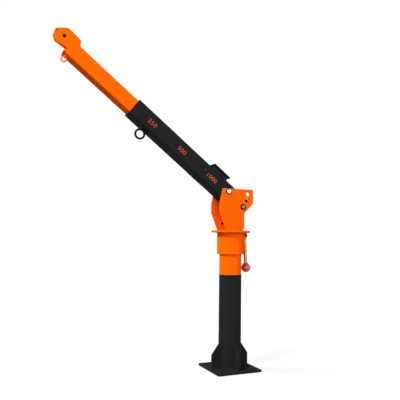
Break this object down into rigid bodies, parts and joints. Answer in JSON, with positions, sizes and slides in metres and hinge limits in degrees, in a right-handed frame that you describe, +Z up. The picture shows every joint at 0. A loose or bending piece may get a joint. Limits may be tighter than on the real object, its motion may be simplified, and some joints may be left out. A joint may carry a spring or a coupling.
{
  "type": "jib crane",
  "caption": "Bolted post crane with a slewing head, a luffing telescopic box boom, a winch seat and a rope sheave at the tip.",
  "frame": {"origin": "centre of the base plate underside, on the column axis", "axes": "+Z up along the column, boom towards -X, near side -Y, lock lever on +X"},
  "size_m": [1.0823, 0.25, 1.6752],
  "materials": {
    "orange_paint": "satin powder coat",
    "black_paint": "satin powder coat",
    "zinc": "bright zinc plate",
    "drawn_steel": "cold drawn",
    "dark_steel": "phosphated",
    "bronze": "machined bush bronze",
    "red_plastic": "glossy moulded",
    "liner": "moulded"
  },
  "bodies": {
    "base": {"base_plate": "black_paint", "post_tube": "black_paint", "gusset_front": "black_paint", "gusset_back": "black_paint", "gusset_boom_side": "black_paint", "gusset_lever_side": "black_paint", "foot_weld": "black_paint", "mast_seat": "black_paint", "mast_tube": "orange_paint", "mast_cap": "zinc", "king_bolt": "zinc"},
    "head": {"slew_sleeve": "orange_paint", "lower_bush": "bronze", "upper_bush": "bronze", "slew_flange": "orange_paint", "cheek_near": "orange_paint", "cheek_far": "orange_paint", "cheek_web": "orange_paint", "cheek_tie": "dark_steel", "pivot_pin": "zinc", "pivot_nut": "zinc", "luff_pin": "dark_steel", "lever_ears": "orange_paint", "lever_pin": "dark_steel"},
    "lever": {"lever_rod": "drawn_steel", "lever_knob": "red_plastic"},
    "boom": {"outer_boom": "black_paint", "pivot_bush": "black_paint", "mouth_liner": "liner", "boom_ring": "black_paint", "winch_riser": "black_paint", "winch_plate": "black_paint", "extension_pin": "dark_steel"},
    "extension": {"inner_boom": "orange_paint", "tail_liner": "liner", "end_cap": "orange_paint", "sheave_plate_near": "orange_paint", "sheave_plate_far": "orange_paint", "tip_ring": "orange_paint", "sheave_axle": "dark_steel", "rope_keeper": "dark_steel"},
    "sheave": {"sheave": "dark_steel"}
  },
  "joints": [
    {"name": "slew", "type": "hinge", "parent": "base", "child": "head", "pos_m": [0, 0, 0.6573], "axis": [0, 0, 1], "continuous": true},
    {"name": "luff", "type": "hinge", "parent": "head", "child": "boom", "pos_m": [-0.043, 0, 0.9293], "axis": [0, 1, 0], "range_deg": [-36.9, 0]},
    {"name": "extend", "type": "slide", "parent": "boom", "child": "extension", "axis": [-0.7912, 0, 0.6115], "range_m": [0, 0.408]},
    {"name": "sheave_spin", "type": "hinge", "parent": "extension", "child": "sheave", "pos_m": [-0.90669, 0, 1.63349], "axis": [0, 1, 0], "continuous": true},
    {"name": "lever_swing", "type": "hinge", "parent": "head", "child": "lever", "pos_m": [0.085, 0, 0.7003], "axis": [0, 1, 0], "range_deg": [-70, 0]}
  ]
}
